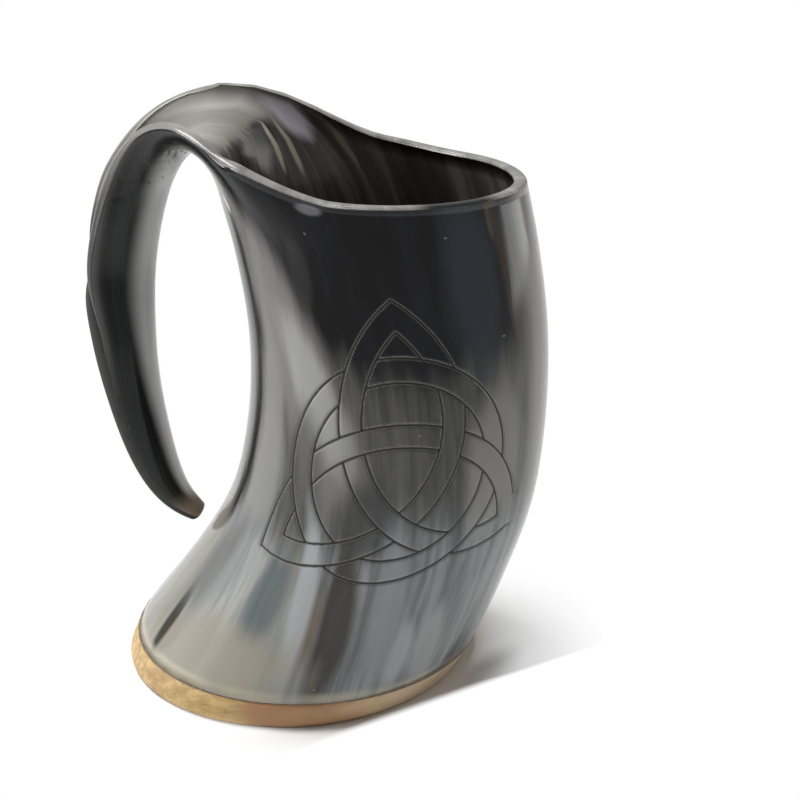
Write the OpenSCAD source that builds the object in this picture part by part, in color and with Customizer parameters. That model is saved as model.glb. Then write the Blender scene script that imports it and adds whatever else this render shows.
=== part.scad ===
// Horn drinking cup: one piece of horn closed below by a wooden foot. The handle is a strip
// of the horn's own wall that ends in the solid tip, bent over and back down by heat.
// Lengths are millimetres. The foot's underside is centred on the origin, and the handle
// stands towards -X. Angles round the cup start at the handle side.

/* [Horn body] */
// Height of the rim above the table, away from the handle
cup_height = 144; // [125:1:165]
// Length of the horn's wide lower end, in line with the handle
base_length = 99; // [88:1:110]
// Width of the horn's wide lower end, across the handle
base_width = 106; // [90:1:116]
// Length of the narrow middle
waist_length = 83; // [74:1:92]
// Width of the narrow middle
waist_width = 82; // [72:1:92]
// Length of the mouth
mouth_length = 88; // [80:1:96]
// Width of the mouth
mouth_width = 72; // [64:1:84]
// How far the middle leans away from the handle
waist_lean = 31.5; // [20:0.5:38]
// How far the mouth's middle stands from the foot's middle
mouth_lean = 21; // [14:0.5:28]
// Thickness of the horn's wall
wall = 3.6; // [2.4:0.1:5]
// Rise of the rim up to the handle, on the -Y side
near_rise = 5.5; // [2:0.5:8]
// Rise of the rim up to the handle, on the +Y side
far_rise = 15; // [8:0.5:17]

/* [Handle] */
// Height at which the strip leaves the cup's side
root_height = 138.5; // [130:0.5:142]
// Rise of the arch's underside over that height
arch_rise = 11.8; // [9:0.2:15]
// Widest gap for the fingers, between the cup's middle and the handle
finger_gap = 30.3; // [26:0.1:36]
// Height of the tip's upper side
tip_height = 42.5; // [34:0.5:52]
// Width of the strip below the arch
handle_width = 22; // [18:0.5:25]
// Depth from the strip's finger side to its widest line
handle_depth = 18; // [15:0.5:20]
// Width of the tip
tip_width = 8; // [6:0.5:10]
// Depth from the tip's finger side to its widest line
tip_depth = 3.8; // [3:0.1:5]
// Thickness left at the strip's long edges where it is solid
edge_wall = 0.5; // [0.4:0.1:1.5]

/* [Foot] */
// Height of the wooden foot that shows
foot_height = 8; // [6:0.5:11]
// Rounding of the foot's lower edge
foot_round = 2; // [1:0.25:3]
// Height of the plug that enters the horn
plug_height = 8; // [5:0.5:12]
// Gap between the plug and the horn
plug_fit = 0.3; // [0.2:0.05:0.5]
// Thickness of the glue line between foot and horn
glue_thick = 0.4; // [0.3:0.05:0.6]
// How far the glue line stays back from the outside
glue_back = 0.2; // [0.1:0.05:0.4]
// Thickness of the seal that covers the plug inside
seal_thick = 2.5; // [1.5:0.25:4]
// Gap between the seal and the horn
seal_fit = 0.1; // [0.05:0.05:0.3]

/* [Hidden] */
// Half the angle of the wall that runs on into the handle
strip_angle = 52;
// Angle over which the wall beside the strip follows it
follow_angle = 28;
// Angle by which the strip is wider where it leaves the rim
flare_angle = 8;
// Length over which it narrows from there
flare_run = 12;
// Steps round the free rim, across the strip, up the wall and along the strip
rim_steps = 52;
strip_steps = 14;
wall_rows = 22;
strip_rows = 50;
// Share of the foot's rounding at which its middle point lies
round_share = 0.3;

// Body stations: share of the height, then length, width and lean, each running
// from the foot's value at 0 over the waist's at 1 to the mouth's at 2
body_shares = [
    [0.00, 0.00, 0.00, 0.00],
    [0.05, -0.10, 0.04, 0.105],
    [0.18, 0.31, 0.54, 0.46],
    [0.35, 0.75, 0.80, 0.83],
    [0.52, 0.94, 0.88, 0.98],
    [0.70, 1.00, 1.00, 1.00],
    [0.87, 1.20, 1.65, 1.33],
    [1.04, 2.00, 2.00, 2.00],
];
// Strip stations on the way up: reach towards the handle, drop from the arch, turn of the
// section, width and depth (cup's at 0, handle's at 1, tip's at 2), spread, roll
rise_shares = [
    [-0.045, 1.00, -5, 0.00, 0.00, 0.00, 0],
    [-0.025, 0.475, 6, 0.02, 0.74, 0.08, -1],
    [0.005, 0.07, 35, 0.12, 1.21, 0.15, -2],
    [0.235, 0.00, 76, 0.41, 1.23, 0.44, -2],
];
// Strip stations on the way down, with the share filled solid and the bulge behind it
fall_shares = [
    [0.45, 0.032, 118, 0.79, 1.18, 0.82, 2, 0.00, 0.00],
    [0.65, 0.096, 161, 1.00, 1.00, 1.00, -13, 0.05, 0.05],
    [0.83, 0.200, 165, 0.96, 0.95, 1.00, -18, 0.35, 0.17],
    [0.985, 0.360, 176, 1.00, 0.95, 1.00, -18, 0.75, 0.27],
    [1.00, 0.492, 179, 1.00, 1.31, 1.00, -8, 1.00, 0.38],
    [0.975, 0.654, 185, 1.10, 1.57, 1.00, -1, 1.00, 0.60],
    [0.85, 0.820, 193, 1.26, 1.72, 1.00, 0, 1.00, 0.68],
    [0.71, 0.930, 206, 1.55, 1.86, 1.00, 0, 1.00, 0.76],
    [0.61, 0.972, 222, 1.80, 1.95, 1.00, 0, 1.00, 0.80],
    [0.47, 1.000, 237, 2.00, 2.00, 1.00, 0, 1.00, 0.85],
    [0.38, 1.014, 242, 2.15, 2.06, 1.00, 0, 1.00, 0.85],
];
// Rim stations away from the strip's edge: angle past it, share of the rise
near_shares = [[40, 0.18], [15, 0.47], [0, 1.00]];
far_shares = [[0, 1.00], [15, 0.33], [30, 0.16], [50, 0.01], [75, 0.00]];

// Smooth curve through the rows of a table, whose first column is the place
function slope(t, i) =
    let (a = max(i - 1, 0), b = min(i + 1, len(t) - 1))
    (t[b] - t[a]) / (t[b][0] - t[a][0]);
function row_at(t, v, i = 0) = i >= len(t) - 2 || v < t[i + 1][0] ? i : row_at(t, v, i + 1);
function ease(t, v) =
    let (i = row_at(t, v), h = t[i + 1][0] - t[i][0], s = (v - t[i][0]) / h)
    t[i] * (2 * s ^ 3 - 3 * s ^ 2 + 1) + slope(t, i) * h * (s ^ 3 - 2 * s ^ 2 + s)
    + t[i + 1] * (3 * s ^ 2 - 2 * s ^ 3) + slope(t, i + 1) * h * (s ^ 3 - s ^ 2);
function blend(a, b, c, t) = t <= 1 ? a + (b - a) * t : b + (c - b) * (t - 1);
function step(t) = let (s = min(max(t, 0), 1)) s * s * (3 - 2 * s);

// Cup wall by height: place, left side, half width, half length
body = [
    for (r = body_shares)
        let (length = blend(base_length, waist_length, mouth_length, r[1]) / 2)
        [
            r[0] * cup_height,
            blend(0, waist_lean, mouth_lean, r[3]) - length,
            blend(base_width, waist_width, mouth_width, r[2]) / 2,
            length,
        ]
];
root = ease(body, root_height);
waist_left = waist_lean - waist_length / 2;
handle_left = waist_left - finger_gap;
arch_height = root_height + arch_rise;

// Strip by station: x, height, turn, half width, depth, spread angle, roll, fill, bulge
function station(r, drop, fill, bulge) = [
    root[1] - (root[1] - handle_left) * r[0],
    arch_height - drop * r[1],
    r[2],
    blend(root[2], handle_width / 2, tip_width / 2, r[3]),
    blend(root[3], handle_depth, tip_depth, r[4]),
    strip_angle + (90 - strip_angle) * r[5],
    r[6],
    fill,
    bulge,
];
strip = concat(
    [for (r = rise_shares) station(r, arch_rise, 0, 0)],
    [for (r = fall_shares) station(r, arch_height - tip_height, r[7], r[8])]
);
function place(i) = [strip[i][0], strip[i][1]];
function run(i) = i == 0 ? 0 : run(i - 1) + norm(place(i) - place(i - 1));
path = concat(
    [for (b = body)
        if (b[0] < root_height - wall)
            [b[0], b[1], b[0], 0, b[2], b[3], strip_angle, 0, 0, 0]],
    [for (i = [0 : len(strip) - 1]) concat([root_height + run(i)], strip[i])]
);
path_end = path[len(path) - 1][0];
edge_angle = strip_angle + flare_angle;
rim = concat(
    [[-180, cup_height]],
    [for (r = near_shares) [-edge_angle - r[0], cup_height + near_rise * r[1]]],
    [for (r = far_shares) [edge_angle + r[0], cup_height + far_rise * r[1]]],
    [[180, cup_height]]
);

// A point of the wall at an angle and a place, where deep is 0 outside and 1 inside
function strip_point(a, v, deep) =
    let (
        q = ease(path, v),
        half = q[4],
        depth = q[5],
        spread = q[6],
        fill = q[8],
        t = deep * (wall + (edge_wall - wall) * fill),
        past = abs(a) - strip_angle,
        f = past <= 0 ? a * spread / strip_angle : sign(a) * (spread + past),
        hollow = t + (depth - t) * (1 - cos(f)),
        solid = depth * (1 - cos(spread)) + depth * q[9] * cos(min(max(a / strip_angle, -1), 1) * 90),
        d = hollow + (solid - hollow) * fill * deep - depth,
        l = (half - t) * sin(f),
        out = d * cos(q[7]) - l * sin(q[7]) + depth
    )
    [q[1] + cos(q[3]) * out, d * sin(q[7]) + l * cos(q[7]), q[2] + sin(q[3]) * out];
function cup_point(a, v, deep) =
    let (b = ease(body, v), t = deep * wall)
    [b[1] + t + (b[3] - t) * (1 - cos(a)), (b[2] - t) * sin(a), v];
function skin(a, v, deep) =
    let (k = step((abs(a) - edge_angle) / follow_angle))
    k <= 0 ? strip_point(a, v, deep)
    : k >= 1 ? cup_point(a, v, deep)
    : strip_point(a, v, deep) * (1 - k) + cup_point(a, v, deep) * k;

// Angles of the columns: across the strip first, then round the free rim
columns = concat(
    [for (i = [0 : strip_steps]) edge_angle * (2 * i / strip_steps - 1)],
    [for (i = [1 : rim_steps - 1])
        let (a = edge_angle + (360 - 2 * edge_angle) * i / rim_steps) a > 180 ? a - 360 : a]
);
count = len(columns);
rim_height = [for (a = columns) ease(rim, a)[1]];

// Faces between two rings of n points, between two open rows of n steps, and over a ring
function quad(a, b, c, d) = [[a, b, c], [a, c, d]];
function join(lists) = [for (l = lists) for (f = l) f];
function band(low, high, n) = join([
    for (i = [0 : n - 1])
        let (j = (i + 1) % n)
        quad(low + i, low + j, high + j, high + i)
]);
function row(low, high, n) = join([
    for (i = [0 : n - 1])
        quad(low + i, low + i + 1, high + i + 1, high + i)
]);
function fan(centre, ring, n) = [for (i = [0 : n - 1]) [centre, ring + i, ring + (i + 1) % n]];
function turned(faces) = [for (f = faces) [f[2], f[1], f[0]]];

// Horn with the handle, from the glue line up
module horn_shell() {
    bottom = foot_height;
    wall_points = [for (deep = [0, 1]) for (r = [0 : wall_rows]) for (c = [0 : count - 1])
        skin(columns[c], bottom + (rim_height[c] - bottom) * r / wall_rows, deep)];
    strip_points = [for (deep = [0, 1]) for (r = [1 : strip_rows]) for (c = [0 : strip_steps])
        let (
            v = rim_height[c] + (path_end - rim_height[c]) * r / strip_rows,
            flare = 1 - min((v - rim_height[c]) / flare_run, 1)
        )
        skin(columns[c] * (strip_angle + flare_angle * flare * flare) / edge_angle, v, deep)];
    wall_size = count * (wall_rows + 1);
    strip_wide = strip_steps + 1;
    strip_size = strip_wide * strip_rows;
    // First point of row r of the wall and of the strip, outside and inside
    function wall_row(deep, r) = deep * wall_size + r * count;
    function strip_row(deep, r) = r == 0 ? wall_row(deep, wall_rows)
        : 2 * wall_size + deep * strip_size + (r - 1) * strip_wide;
    sides = join([for (deep = [0, 1])
        let (
            around = join([for (r = [0 : wall_rows - 1])
                band(wall_row(deep, r), wall_row(deep, r + 1), count)]),
            along = join([for (r = [0 : strip_rows - 1])
                row(strip_row(deep, r), strip_row(deep, r + 1), strip_steps)]),
            all = concat(around, along)
        )
        deep == 0 ? all : turned(all)]);
    lower = band(wall_row(1, 0), wall_row(0, 0), count);
    upper = join([for (c = [strip_steps : count - 1])
        let (d = (c + 1) % count, o = wall_row(0, wall_rows), i = wall_row(1, wall_rows))
        quad(o + c, o + d, i + d, i + c)]);
    edges = join([for (r = [0 : strip_rows - 1])
        let (
            o = strip_row(0, r),
            p = strip_row(0, r + 1),
            i = strip_row(1, r),
            j = strip_row(1, r + 1),
            n = strip_steps
        )
        concat(quad(o, p, j, i), turned(quad(o + n, p + n, j + n, i + n)))]);
    tip = row(strip_row(0, strip_rows), strip_row(1, strip_rows), strip_steps);
    color("#3b3d40")
        polyhedron(concat(wall_points, strip_points), concat(sides, lower, upper, edges, tip));
}

// A ring of the outside or the bore, drawn in by a distance, at a height of its own
function ring_at(v, deep, inset, z) =
    let (b = ease(body, v), centre = [b[1] + b[3], 0, z])
    [for (a = columns)
        let (p = skin(a, v, deep), q = [p[0], p[1], z], s = q - centre)
        q - s / norm(s) * inset];
module stack(rows) {
    points = join(rows);
    last = (len(rows) - 1) * count;
    low = rows[0];
    high = rows[len(rows) - 1];
    middle_low = (low[0] + low[floor(count / 2)]) / 2;
    middle_high = (high[0] + high[floor(count / 2)]) / 2;
    polyhedron(
        concat(points, [middle_low, middle_high]),
        concat(
            join([for (r = [0 : len(rows) - 2]) band(r * count, (r + 1) * count, count)]),
            turned(fan(len(points), 0, count)),
            fan(len(points) + 1, last, count)
        )
    );
}

// Wooden foot: the disc that shows and the plug that enters the horn
module wooden_foot() {
    shoulder = foot_height - glue_thick;
    plug_top = foot_height + plug_height;
    color("#b98f5c")
        stack([
            ring_at(0, 0, foot_round, 0),
            ring_at(0, 0, foot_round * round_share, foot_round * round_share),
            ring_at(foot_round, 0, 0, foot_round),
            ring_at(shoulder, 0, 0, shoulder),
            ring_at(shoulder, 1, plug_fit, shoulder),
            ring_at(foot_height, 1, plug_fit, foot_height),
            ring_at(plug_top, 1, plug_fit, plug_top),
        ]);
}

// Glue line between the foot's shoulder and the horn's lower edge
module glue_line() {
    low = foot_height - glue_thick;
    rows = [
        ring_at(low, 0, glue_back, low),
        ring_at(foot_height, 0, glue_back, foot_height),
        ring_at(foot_height, 1, 0, foot_height),
        ring_at(low, 1, 0, low),
    ];
    color("#2a211a")
        polyhedron(
            join(rows),
            join([for (r = [0 : 3]) band(r * count, ((r + 1) % 4) * count, count)])
        );
}

// Seal poured over the plug, inside the cup
module floor_seal() {
    low = foot_height + plug_height;
    high = low + seal_thick;
    color("#4a3a2a")
        stack([
            ring_at(low, 1, seal_fit, low),
            ring_at(high, 1, seal_fit, high),
        ]);
}

horn_shell();
wooden_foot();
glue_line();
floor_seal();
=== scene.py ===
import math

import bpy
import numpy as np
from mathutils import Matrix, Vector


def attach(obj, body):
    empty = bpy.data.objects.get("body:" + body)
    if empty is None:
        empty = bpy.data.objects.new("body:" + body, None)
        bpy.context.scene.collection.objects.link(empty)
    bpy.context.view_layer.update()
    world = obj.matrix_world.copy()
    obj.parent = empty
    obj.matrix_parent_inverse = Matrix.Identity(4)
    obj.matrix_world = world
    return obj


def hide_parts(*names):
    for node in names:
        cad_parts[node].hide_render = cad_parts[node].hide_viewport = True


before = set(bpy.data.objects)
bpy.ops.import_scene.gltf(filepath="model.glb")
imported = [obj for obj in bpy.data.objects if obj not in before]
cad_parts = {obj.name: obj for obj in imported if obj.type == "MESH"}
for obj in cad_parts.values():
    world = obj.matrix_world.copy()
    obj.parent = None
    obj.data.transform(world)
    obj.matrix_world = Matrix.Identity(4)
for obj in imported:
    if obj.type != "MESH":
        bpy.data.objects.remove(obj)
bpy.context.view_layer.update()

scene = bpy.context.scene

# Camera: a short tele lens, a little above the rim, looking at the cup's side with the
# handle to the left.
camera_side = math.radians(12.2)
camera_up = math.radians(21.1)
camera_roll = math.radians(-0.2)
camera_away = 0.557
looked_at = Vector((0.0318, 0, 0.0792))


def placed(name, data):
    """A new object in the scene."""
    ob = bpy.data.objects.new(name, data)
    scene.collection.objects.link(ob)
    return ob


back = Vector((
    math.sin(camera_side) * math.cos(camera_up),
    -math.cos(camera_side) * math.cos(camera_up),
    math.sin(camera_up),
))
level = (-back).cross(Vector((0, 0, 1))).normalized()
upright = level.cross(-back)
right = level * math.cos(camera_roll) + upright * math.sin(camera_roll)
up = upright * math.cos(camera_roll) - level * math.sin(camera_roll)
camera_data = bpy.data.cameras.new("Camera")
camera_data.lens = 88.8
camera_data.sensor_width = 36
camera = placed("Camera", camera_data)
camera.matrix_world = Matrix((right, up, back)).transposed().to_4x4()
camera.location = looked_at + back * camera_away
scene.camera = camera


# Horn shell: the cup and its handle in one piece of horn. The wide end is cut level, and the wall's
# handle side is left standing as a strip that runs into the solid tip. The strip is softened by heat
# and bent over and back down. The outside is polished, and the knot is cut by hand.
cup_height = 0.144
base_length = 0.099
base_width = 0.106
waist_length = 0.083
waist_width = 0.082
mouth_length = 0.088
mouth_width = 0.072
waist_lean = 0.0315
mouth_lean = 0.021
wall = 0.0036
near_rise = 0.0055
far_rise = 0.015
root_height = 0.1385
arch_rise = 0.0118
finger_gap = 0.0303
tip_height = 0.0425
handle_width = 0.022
handle_depth = 0.018
tip_width = 0.008
tip_depth = 0.0038
edge_wall = 0.0005
foot_height = 0.008
strip_angle = 52
follow_angle = 28
flare_angle = 8
flare_run = 0.012
edge_angle = strip_angle + flare_angle

# Share of the height, then length, width and lean: the foot's value at 0, the waist's at 1 and
# the mouth's at 2
body_shares = [
    (0, 0, 0, 0), (.05, -.1, .04, .105), (.18, .31, .54, .46), (.35, .75, .8, .83),
    (.52, .94, .88, .98), (.7, 1, 1, 1), (.87, 1.2, 1.65, 1.33), (1.04, 2, 2, 2),
]
# Places along the strip: reach, drop, turn of the section, width, depth, spread, roll, fill, bulge
rise_shares = [
    (-.045, 1, -5, 0, 0, 0, 0, 0, 0), (-.025, .475, 6, .02, .74, .08, -1, 0, 0),
    (.005, .07, 35, .12, 1.21, .15, -2, 0, 0), (.235, 0, 76, .41, 1.23, .44, -2, 0, 0),
]
fall_shares = [
    (.45, .032, 118, .79, 1.18, .82, 2, 0, 0), (.65, .096, 161, 1, 1, 1, -13, .05, .05),
    (.83, .2, 165, .96, .95, 1, -18, .35, .17), (.985, .36, 176, 1, .95, 1, -18, .75, .27),
    (1, .492, 179, 1, 1.31, 1, -8, 1, .38), (.975, .654, 185, 1.1, 1.57, 1, -2, 1, .6),
    (.85, .82, 193, 1.26, 1.72, 1, 0, 1, .68), (.71, .93, 206, 1.55, 1.86, 1, 0, 1, .76),
    (.61, .972, 222, 1.8, 1.95, 1, 0, 1, .8), (.47, 1, 237, 2, 2, 1, 0, 1, .85),
    (.38, 1.014, 242, 2.15, 2.06, 1, 0, 1, .85),
]


def ease(table, places):
    """Smooth curve through the rows of a table whose first column is the place."""
    t = np.asarray(table, float)
    at = np.atleast_1d(np.asarray(places, float))
    last = len(t) - 1
    i = np.clip(np.searchsorted(t[:, 0], at, side="right") - 1, 0, last - 1)
    before, after = np.clip(np.arange(last + 1) - 1, 0, last), np.clip(np.arange(last + 1) + 1, 0, last)
    slopes = (t[after] - t[before]) / (t[after] - t[before])[:, :1]
    h = (t[i + 1, 0] - t[i, 0])[:, None]
    s = (at - t[i, 0])[:, None] / h
    return (t[i] * (2 * s ** 3 - 3 * s ** 2 + 1) + slopes[i] * h * (s ** 3 - 2 * s ** 2 + s)
            + t[i + 1] * (3 * s ** 2 - 2 * s ** 3) + slopes[i + 1] * h * (s ** 3 - s ** 2))


def between(a, b, c, t):
    return a + (b - a) * t if t <= 1 else b + (c - b) * (t - 1)


body = []
for share, long_share, wide_share, lean_share in body_shares:
    half_length = between(base_length, waist_length, mouth_length, long_share) / 2
    body.append((share * cup_height, between(0, waist_lean, mouth_lean, lean_share) - half_length,
                 between(base_width, waist_width, mouth_width, wide_share) / 2, half_length))
root = ease(body, root_height)[0]
handle_left = waist_lean - waist_length / 2 - finger_gap
arch_height = root_height + arch_rise
stations = []
for shares, fall in ((rise_shares, arch_rise), (fall_shares, arch_height - tip_height)):
    for reach, drop, turn, wide, deep, spread, roll, fill, bulge in shares:
        stations.append((
            root[1] - (root[1] - handle_left) * reach, arch_height - fall * drop, turn,
            between(root[2], handle_width / 2, tip_width / 2, wide),
            between(root[3], handle_depth, tip_depth, deep),
            strip_angle + (90 - strip_angle) * spread, roll, fill, bulge))
# The path: the body's sections below the root, then the stations of the strip
path = [(height, left, height, 0, half, length, strip_angle, 0, 0, 0)
        for height, left, half, length in body if height < root_height - wall]
travelled = root_height
for i, station in enumerate(stations):
    if i:
        travelled += math.dist(station[:2], stations[i - 1][:2])
    path.append((travelled, *station))
path_end = travelled
rim_places = [
    (-180, cup_height), (-edge_angle - 40, cup_height + near_rise * .18),
    (-edge_angle - 15, cup_height + near_rise * .47), (-edge_angle, cup_height + near_rise),
    (edge_angle, cup_height + far_rise), (edge_angle + 15, cup_height + far_rise * .33),
    (edge_angle + 30, cup_height + far_rise * .16), (edge_angle + 50, cup_height + far_rise * .01),
    (edge_angle + 75, cup_height), (180, cup_height),
]


def evened(values, reach, step):
    """Evens out evenly spaced values by a bell curve, with both ends carried on straight."""
    arm = int(3 * reach / step)
    bell = np.exp(-.5 * (np.arange(-arm, arm + 1) * step / reach) ** 2)
    carried = np.concatenate([2 * values[0] - values[arm:0:-1], values,
                              2 * values[-1] - values[-2:-arm - 2:-1]])
    return np.convolve(carried, bell / bell.sum(), "valid")


path_step = 0.0005
path_evening = 0.004
path_places = np.arange(0, path_end + path_step, path_step)
path_columns = [evened(column, path_evening, path_step) for column in ease(path, path_places).T[1:]]


def strip_section(along):
    """x, z, turn, half width, depth, spread, roll, fill and bulge at places along the strip."""
    return [np.interp(along, path_places, column) for column in path_columns]


def spread_out(*values):
    """Numbers and rows of numbers as rows of one length."""
    return np.broadcast_arrays(*(np.atleast_1d(np.asarray(value, float)) for value in values))


def skin(angle, along, deep):
    """Points of the wall at places along it: angle 0 is the handle's middle, and deep runs from 0
    on the outside to 1 on the inside."""
    angle, along, deep = spread_out(angle, along, deep)
    x, z, turn, half, depth, spread, roll, fill, bulge = strip_section(along)
    thick = deep * (wall + (edge_wall - wall) * fill)
    past = np.abs(angle) - strip_angle
    around = np.radians(np.where(past <= 0, angle * spread / strip_angle, np.sign(angle) * (spread + past)))
    hollow = thick + (depth - thick) * (1 - np.cos(around))
    crown = np.cos(np.radians(np.clip(angle / strip_angle, -1, 1) * 90))
    solid = depth * (1 - np.cos(np.radians(spread))) + depth * bulge * crown
    inward = hollow + (solid - hollow) * fill * deep - depth
    across = (half - thick) * np.sin(around)
    rolled, turned = np.radians(roll), np.radians(turn)
    out = inward * np.cos(rolled) - across * np.sin(rolled) + depth
    strip = np.stack([x + np.cos(turned) * out, inward * np.sin(rolled) + across * np.cos(rolled),
                      z + np.sin(turned) * out], -1)
    height = np.minimum(along, cup_height + far_rise)
    _, left, half, length = ease(body, height).T
    thick = deep * wall
    plain = np.stack([left + thick + (length - thick) * (1 - np.cos(np.radians(angle))),
                      (half - thick) * np.sin(np.radians(angle)), along], -1)
    k = np.clip((np.abs(angle) - edge_angle) / follow_angle, 0, 1)
    k = (k * k * (3 - 2 * k))[:, None]
    return strip * (1 - k) + plain * k


# Columns in degrees and rows in shares, fine where the knot is cut
knot_angle = -104
knot_height = 0.0757
fine_left, fine_right = 206, -50
fine_low, fine_high = .21, .87
strip_columns = np.concatenate([np.linspace(-edge_angle, fine_right, 17)[:-1],
                                np.linspace(fine_right, edge_angle, 31)])
free_columns = np.concatenate([np.linspace(edge_angle, 180, 36)[1:-1], np.linspace(180, fine_left, 12)[:-1],
                               np.linspace(fine_left, 360 - edge_angle, 156)[:-1]])
columns = np.concatenate([strip_columns, np.where(free_columns > 180, free_columns - 360, free_columns)])
wide, count = len(strip_columns), len(columns)
wall_shares = np.concatenate([np.linspace(0, fine_low, 16)[:-1], np.linspace(fine_low, fine_high, 196)[:-1],
                              np.linspace(fine_high, 1, 12)])
inner_shares = np.linspace(0, 1, 34)
strip_rows = 150

# The free rim is evened out, and meets the strip's edges within a few degrees
rim_evening = 5
rim_joins = 6
rim_height = ease(rim_places, columns)[:, 1]
for side in (-1, 1):
    beyond = np.arange(edge_angle, 181.0)
    level_rim = evened(ease(rim_places, side * beyond)[:, 1], rim_evening, 1)
    mine = (columns * side) > edge_angle
    share = np.clip((np.abs(columns) - edge_angle) / rim_joins, 0, 1)
    evener = np.interp(np.abs(columns), beyond, level_rim)
    rim_height = np.where(mine, rim_height + (evener - rim_height) * share, rim_height)
rim_round = 0.0009
tip_round = 0.0016
# Places across a rounded edge, from the outside to the inside: depth in the wall, and drop
edge_deep = [.05, .16, .32, .5, .68, .84, .95]
edge_drop = np.array([.42, .12, .02, 0, .02, .12, .42])

points, facts, faces = [], [], []


def add_points(angle, along, deep, edge=0.0):
    """Adds points of the skin with what the material reads there, and gives their numbers."""
    first = len(points)
    angle, along, deep, edge = spread_out(angle, along, deep, edge)
    points.extend(skin(angle, along, deep))
    facts.extend(zip(angle, along, deep, edge))
    return np.arange(first, first + len(angle))


def bridge(low, high, closed=False):
    """Faces between two rows of point numbers."""
    low, high = list(low), list(high)
    if closed:
        low, high = low + low[:1], high + high[:1]
    faces.extend((low[i], high[i], high[i + 1], low[i + 1]) for i in range(len(low) - 1))


top = rim_height - rim_round
outer = [add_points(columns, foot_height + (top - foot_height) * s, 0) for s in wall_shares]
inner = [add_points(columns, foot_height + (top - foot_height) * s, 1) for s in inner_shares]
for low, high in zip(outer, outer[1:]):
    bridge(low, high, closed=True)
for low, high in zip(inner, inner[1:]):
    bridge(high, low, closed=True)
bridge(inner[0], outer[0], closed=True)


def strip_angles(along):
    """The strip's columns at places along it: it narrows from where it leaves the rim."""
    flare = 1 - np.minimum(np.maximum(along - rim_height[:wide], 0) / flare_run, 1)
    return strip_columns / edge_angle * (strip_angle + flare_angle * flare ** 2)


strip_end = path_end - tip_round
shares = np.linspace(0, 1, strip_rows + 1)[1:]
outer_strip, inner_strip = [outer[-1][:wide]], [inner[-1][:wide]]
lower_edges, upper_edges = [], []
for share in shares:
    along = rim_height[:wide] + (strip_end - rim_height[:wide]) * share
    angles = strip_angles(along)
    started = min(share * strip_rows / 2, 1)
    half, fill = (strip_section(along[[0, -1]])[i] for i in (3, 7))
    inset = np.degrees(rim_round / half) * started * (1 + (edge_wall / wall - 1) * fill)
    pull = 1 - np.where(strip_columns < 0, inset[0], inset[1]) / strip_angle
    outer_strip.append(add_points(angles * pull, along, 0))
    inner_strip.append(add_points(angles * pull, along, 1))
    for edges, c, closed in ((lower_edges, 0, fill[0]), (upper_edges, wide - 1, fill[1])):
        sharp = angles[c] * (1 - (1 - pull[c]) * edge_drop)
        edges.append(add_points(sharp, along[c], edge_deep, max(1 - 2 * closed, 0)))
for low, high in zip(outer_strip, outer_strip[1:]):
    bridge(low, high)
for low, high in zip(inner_strip, inner_strip[1:]):
    bridge(high, low)
free = list(range(wide - 1, count)) + [0]
rim_edge = [add_points(columns[c], rim_height[c] - edge_drop * rim_round, edge_deep, 1) for c in free]
# One row of edge points after another: up one edge of the strip, round the rim, and down the other
boundary = ([(outer_strip[r + 1][-1], *upper_edges[r], inner_strip[r + 1][-1])
             for r in reversed(range(strip_rows))]
            + [(outer[-1][c], *edge, inner[-1][c]) for c, edge in zip(free, rim_edge)]
            + [(outer_strip[r + 1][0], *lower_edges[r], inner_strip[r + 1][0]) for r in range(strip_rows)])
for this, following in zip(boundary, boundary[1:]):
    bridge(this, following)

# The tip is rounded over: rings that close in on the middle of the last section
tip_turns = np.radians([18, 36, 54, 70, 82])
loop = [*outer_strip[-1], *boundary[0][1:-1], *inner_strip[-1][::-1], *boundary[-1][-2:0:-1]]
ring = np.array([points[i] for i in loop])
middle = ring.mean(axis=0)
ahead = middle - np.array([points[i] for i in (*outer_strip[-2], *inner_strip[-2])]).mean(axis=0)
ahead /= np.linalg.norm(ahead)
last = loop
for turn in tip_turns:
    first = len(points)
    points.extend(middle + (ring - middle) * math.cos(turn) + ahead * tip_round * math.sin(turn))
    facts.extend(facts[i] for i in loop)
    here = list(range(first, first + len(loop)))
    bridge(last, here, closed=True)
    last = here
points.append(middle + ahead * tip_round)
facts.append(facts[loop[0]])
faces.extend((last[(i + 1) % len(last)], last[i], len(points) - 1) for i in range(len(last)))

points = np.array(points)
facts = np.array(facts)

# The rim runs into the strip's two edges without a corner: the wall is rubbed smooth there
rub_reach = 0.005
pairs = np.array([pair for f in faces for pair in zip(f, f[1:] + f[:1])])
for side, rounds in ((-edge_angle, 14), (edge_angle, 4)):
    corner = skin(side, ease(rim_places, side)[0][1], .5)[0]
    rub = np.clip(1.5 - np.linalg.norm(points - corner, axis=1) / rub_reach, 0, 1)[:, None] * .5
    a, b = pairs[(rub[pairs[:, 0], 0] > 0) | (rub[pairs[:, 1], 0] > 0)].T
    neighbours = np.bincount(a, minlength=len(points)) + np.bincount(b, minlength=len(points))
    neighbours = np.maximum(neighbours, 1)[:, None]
    for _ in range(rounds):
        total = np.stack([np.bincount(a, points[b, k], len(points))
                          + np.bincount(b, points[a, k], len(points)) for k in range(3)], -1)
        points += (total / neighbours - points) * rub
horn_mesh = bpy.data.meshes.new("horn_shell")
horn_mesh.from_pydata(points.tolist(), [], faces)
horn_mesh.update()
horn_mesh.shade_smooth()


def note(name, kind, domain, values):
    """Notes values on the horn's points or face corners, for its material to read."""
    layer = horn_mesh.attributes.new(name, kind, domain)
    field = "vector" if kind == "FLOAT_VECTOR" else "value"
    layer.data.foreach_set(field, np.ascontiguousarray(values, dtype=np.float32).ravel())


for name, column in (("along", 1), ("inside", 2), ("edge", 3)):
    note(name, "FLOAT", "POINT", facts[:, column])
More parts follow.
